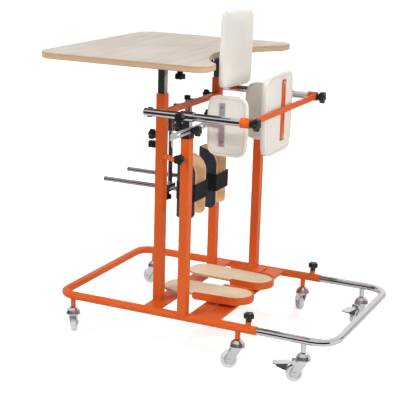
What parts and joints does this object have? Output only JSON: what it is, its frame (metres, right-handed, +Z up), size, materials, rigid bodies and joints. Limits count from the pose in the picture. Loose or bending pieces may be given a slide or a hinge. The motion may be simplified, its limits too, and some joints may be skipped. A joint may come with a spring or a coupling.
{
  "type": "standing table",
  "caption": "Wheeled child's standing frame with a height-adjustable table, chest, hip and rear pads, knee cups with straps, and sliding foot plates.",
  "frame": {"origin": "on the floor, at the middle of the overall box", "axes": "+X from the table's front edge to the rear gate, +Y from the near side to the far side, +Z up"},
  "size_m": [1.0484, 0.898, 1.1187],
  "materials": {
    "orange_paint": "orange powder coat on steel, satin gloss",
    "chrome": "bright chrome plate",
    "zinc": "bright zinc plate",
    "black_plastic": "black moulded plastic",
    "wheel_plastic": "light grey moulded plastic",
    "oak_laminate": "light oak laminate, satin",
    "birch": "clear varnished birch plywood",
    "tan_ply": "varnished bent plywood",
    "vinyl": "cream vinyl over foam",
    "foam": "dark foam cover with a black webbing strap"
  },
  "bodies": {
    "base": {"base_tube": "orange_paint", "toe_crossmember": "orange_paint", "heel_crossmember": "orange_paint", "post_front_near": "orange_paint", "post_front_far": "orange_paint", "post_rear_near": "orange_paint", "post_rear_far": "orange_paint", "front_crossbar": "orange_paint"},
    "extension": {"rear_extension": "chrome"},
    "caster_near_front": {"caster_fork_near_front": "zinc"},
    "wheel_near_front": {"caster_wheel_near_front": "wheel_plastic"},
    "caster_far_front": {"caster_fork_far_front": "zinc"},
    "wheel_far_front": {"caster_wheel_far_front": "wheel_plastic"},
    "caster_near_mid": {"caster_fork_near_mid": "zinc"},
    "wheel_near_mid": {"caster_wheel_near_mid": "wheel_plastic"},
    "caster_far_mid": {"caster_fork_far_mid": "zinc"},
    "wheel_far_mid": {"caster_wheel_far_mid": "wheel_plastic"},
    "caster_near_rear": {"caster_fork_near_rear": "zinc"},
    "wheel_near_rear": {"caster_wheel_near_rear": "wheel_plastic"},
    "pedal_near": {"brake_pedal_near": "zinc"},
    "caster_far_rear": {"caster_fork_far_rear": "zinc"},
    "wheel_far_rear": {"caster_wheel_far_rear": "wheel_plastic"},
    "pedal_far": {"brake_pedal_far": "zinc"},
    "table_lift": {"table_carriage": "chrome"},
    "table": {"table_top": "oak_laminate"},
    "chest_support": {"chest_bracket": "zinc", "chest_pad": "vinyl"},
    "hip_frame": {"hip_leg_near": "chrome", "hip_leg_far": "chrome"},
    "side_tubes": {"side_tube_near": "chrome", "side_tube_far": "chrome"},
    "gate": {"rear_gate": "orange_paint"},
    "rear_support": {"rear_pad_strip": "orange_paint", "rear_pad": "vinyl"},
    "hip_arm_near": {"hip_arm_near": "chrome", "hip_pad_near": "vinyl"},
    "knee_pole_near": {"knee_pole_near": "chrome"},
    "knee_support_near": {"knee_rod_near": "chrome", "knee_cup_near": "foam", "knee_liner_near": "tan_ply"},
    "foot_near": {"foot_plate_near": "birch", "heel_rim_near": "orange_paint"},
    "hip_arm_far": {"hip_arm_far": "chrome", "hip_pad_far": "vinyl"},
    "knee_pole_far": {"knee_pole_far": "chrome"},
    "knee_support_far": {"knee_rod_far": "chrome", "knee_cup_far": "foam", "knee_liner_far": "tan_ply"},
    "foot_far": {"foot_plate_far": "birch", "heel_rim_far": "orange_paint"},
    "extension_knob_near": {"extension_knob_near": "black_plastic"},
    "extension_knob_far": {"extension_knob_far": "black_plastic"},
    "table_height_knob_near": {"table_height_knob_near": "black_plastic"},
    "table_height_knob_far": {"table_height_knob_far": "black_plastic"},
    "hip_height_knob_near": {"hip_height_knob_near": "black_plastic"},
    "hip_height_knob_far": {"hip_height_knob_far": "black_plastic"},
    "gate_knob_near": {"gate_knob_near": "black_plastic"},
    "gate_knob_far": {"gate_knob_far": "black_plastic"},
    "hip_arm_knob_near": {"hip_arm_knob_near": "black_plastic"},
    "hip_arm_knob_far": {"hip_arm_knob_far": "black_plastic"}
  },
  "joints": [
    {"name": "extension_slide", "type": "slide", "parent": "base", "child": "extension", "axis": [1, 0, 0], "range_m": [-0.05, 0.1]},
    {"name": "swivel_near_front", "type": "hinge", "parent": "base", "child": "caster_near_front", "pos_m": [-0.42525, -0.3, 0.098], "axis": [0, 0, 1], "continuous": true},
    {"name": "roll_near_front", "type": "hinge", "parent": "caster_near_front", "child": "wheel_near_front", "pos_m": [-0.43624, -0.27644, 0.028], "axis": [-0.9063, -0.4226, 0], "continuous": true},
    {"name": "swivel_far_front", "type": "hinge", "parent": "base", "child": "caster_far_front", "pos_m": [-0.42525, 0.3, 0.098], "axis": [0, 0, 1], "continuous": true},
    {"name": "roll_far_front", "type": "hinge", "parent": "caster_far_front", "child": "wheel_far_front", "pos_m": [-0.44968, 0.30889, 0.028], "axis": [-0.342, -0.9397, 0], "continuous": true},
    {"name": "swivel_near_mid", "type": "hinge", "parent": "base", "child": "caster_near_mid", "pos_m": [0.19175, -0.3, 0.098], "axis": [0, 0, 1], "continuous": true},
    {"name": "roll_near_mid", "type": "hinge", "parent": "caster_near_mid", "child": "wheel_near_mid", "pos_m": [0.16819, -0.31099, 0.028], "axis": [0.4226, -0.9063, 0], "continuous": true},
    {"name": "swivel_far_mid", "type": "hinge", "parent": "base", "child": "caster_far_mid", "pos_m": [0.19175, 0.3, 0.098], "axis": [0, 0, 1], "continuous": true},
    {"name": "roll_far_mid", "type": "hinge", "parent": "caster_far_mid", "child": "wheel_far_mid", "pos_m": [0.17574, 0.32049, 0.028], "axis": [-0.788, -0.6157, 0], "continuous": true},
    {"name": "swivel_near_rear", "type": "hinge", "parent": "extension", "child": "caster_near_rear", "pos_m": [0.41775, -0.3, 0.098], "axis": [0, 0, 1], "continuous": true},
    {"name": "roll_near_rear", "type": "hinge", "parent": "caster_near_rear", "child": "wheel_near_rear", "pos_m": [0.39419, -0.31099, 0.028], "axis": [0.4226, -0.9063, 0], "continuous": true},
    {"name": "brake_press_near", "type": "hinge", "parent": "caster_near_rear", "child": "pedal_near", "pos_m": [0.39237, -0.31183, 0.0645], "axis": [0.4226, -0.9063, 0], "range_deg": [0, 6.5], "stiffness_Nm_per_rad": 2, "springref_deg": -5.73},
    {"name": "swivel_far_rear", "type": "hinge", "parent": "extension", "child": "caster_far_rear", "pos_m": [0.41775, 0.3, 0.098], "axis": [0, 0, 1], "continuous": true},
    {"name": "roll_far_rear", "type": "hinge", "parent": "caster_far_rear", "child": "wheel_far_rear", "pos_m": [0.40886, 0.27557, 0.028], "axis": [0.9397, -0.342, 0], "continuous": true},
    {"name": "brake_press_far", "type": "hinge", "parent": "caster_far_rear", "child": "pedal_far", "pos_m": [0.40817, 0.27369, 0.0645], "axis": [0.9397, -0.342, 0], "range_deg": [0, 6.5], "stiffness_Nm_per_rad": 2, "springref_deg": -5.73},
    {"name": "table_height", "type": "slide", "parent": "base", "child": "table_lift", "axis": [0, 0, 1], "range_m": [0, 0.15]},
    {"name": "table_depth", "type": "slide", "parent": "table_lift", "child": "table", "axis": [1, 0, 0], "range_m": [-0.05, 0.04]},
    {"name": "chest_depth", "type": "slide", "parent": "table", "child": "chest_support", "axis": [1, 0, 0], "range_m": [-0.02, 0.04]},
    {"name": "hip_height", "type": "slide", "parent": "base", "child": "hip_frame", "axis": [0, 0, 1], "range_m": [0, 0.08]},
    {"name": "side_tube_reach", "type": "slide", "parent": "hip_frame", "child": "side_tubes", "axis": [1, 0, 0], "range_m": [0, 0.08]},
    {"name": "gate_pull", "type": "slide", "parent": "side_tubes", "child": "gate", "axis": [1, 0, 0], "range_m": [0, 0.05]},
    {"name": "rear_pad_height", "type": "slide", "parent": "gate", "child": "rear_support", "axis": [0, 0, 1], "range_m": [-0.04, 0.04]},
    {"name": "hip_width_near", "type": "slide", "parent": "hip_frame", "child": "hip_arm_near", "axis": [0, -1, 0], "range_m": [-0.015, 0.04]},
    {"name": "knee_height_near", "type": "slide", "parent": "base", "child": "knee_pole_near", "axis": [0, 0, 1], "range_m": [-0.04, 0]},
    {"name": "knee_depth_near", "type": "slide", "parent": "knee_pole_near", "child": "knee_support_near", "axis": [1, 0, 0], "range_m": [-0.025, 0.1]},
    {"name": "foot_width_near", "type": "slide", "parent": "base", "child": "foot_near", "axis": [0, -1, 0], "range_m": [-0.02, 0.004]},
    {"name": "hip_width_far", "type": "slide", "parent": "hip_frame", "child": "hip_arm_far", "axis": [0, 1, 0], "range_m": [-0.015, 0.04]},
    {"name": "knee_height_far", "type": "slide", "parent": "base", "child": "knee_pole_far", "axis": [0, 0, 1], "range_m": [-0.04, 0]},
    {"name": "knee_depth_far", "type": "slide", "parent": "knee_pole_far", "child": "knee_support_far", "axis": [1, 0, 0], "range_m": [-0.025, 0.1]},
    {"name": "foot_width_far", "type": "slide", "parent": "base", "child": "foot_far", "axis": [0, 1, 0], "range_m": [-0.018, 0.045]},
    {"name": "extension_knob_near_turn", "type": "hinge", "parent": "base", "child": "extension_knob_near", "pos_m": [0.22675, -0.3, 0.164], "axis": [0, 0, 1], "range_deg": [0, 360]},
    {"name": "extension_knob_far_turn", "type": "hinge", "parent": "base", "child": "extension_knob_far", "pos_m": [0.22675, 0.3, 0.164], "axis": [0, 0, 1], "range_deg": [0, 360]},
    {"name": "table_height_knob_near_turn", "type": "hinge", "parent": "base", "child": "table_height_knob_near", "pos_m": [-0.16225, -0.2155, 0.785], "axis": [-1, 0, 0], "range_deg": [0, 360]},
    {"name": "table_height_knob_far_turn", "type": "hinge", "parent": "base", "child": "table_height_knob_far", "pos_m": [-0.16225, 0.2155, 0.785], "axis": [-1, 0, 0], "range_deg": [0, 360]},
    {"name": "hip_height_knob_near_turn", "type": "hinge", "parent": "base", "child": "hip_height_knob_near", "pos_m": [-0.01075, -0.329, 0.674], "axis": [0, -1, 0], "range_deg": [0, 360]},
    {"name": "hip_height_knob_far_turn", "type": "hinge", "parent": "base", "child": "hip_height_knob_far", "pos_m": [-0.01075, 0.329, 0.674], "axis": [0, 1, 0], "range_deg": [0, 360]},
    {"name": "gate_knob_near_turn", "type": "hinge", "parent": "gate", "child": "gate_knob_near", "pos_m": [0.20725, -0.3, 0.804], "axis": [1, 0, 0], "range_deg": [0, 360]},
    {"name": "gate_knob_far_turn", "type": "hinge", "parent": "gate", "child": "gate_knob_far", "pos_m": [0.20725, 0.3, 0.804], "axis": [1, 0, 0], "range_deg": [0, 360]},
    {"name": "hip_arm_knob_near_turn", "type": "hinge", "parent": "hip_frame", "child": "hip_arm_knob_near", "pos_m": [0.00975, -0.3, 0.763], "axis": [1, 0, 0], "range_deg": [0, 360]},
    {"name": "hip_arm_knob_far_turn", "type": "hinge", "parent": "hip_frame", "child": "hip_arm_knob_far", "pos_m": [0.00975, 0.3, 0.763], "axis": [1, 0, 0], "range_deg": [0, 360]}
  ]
}
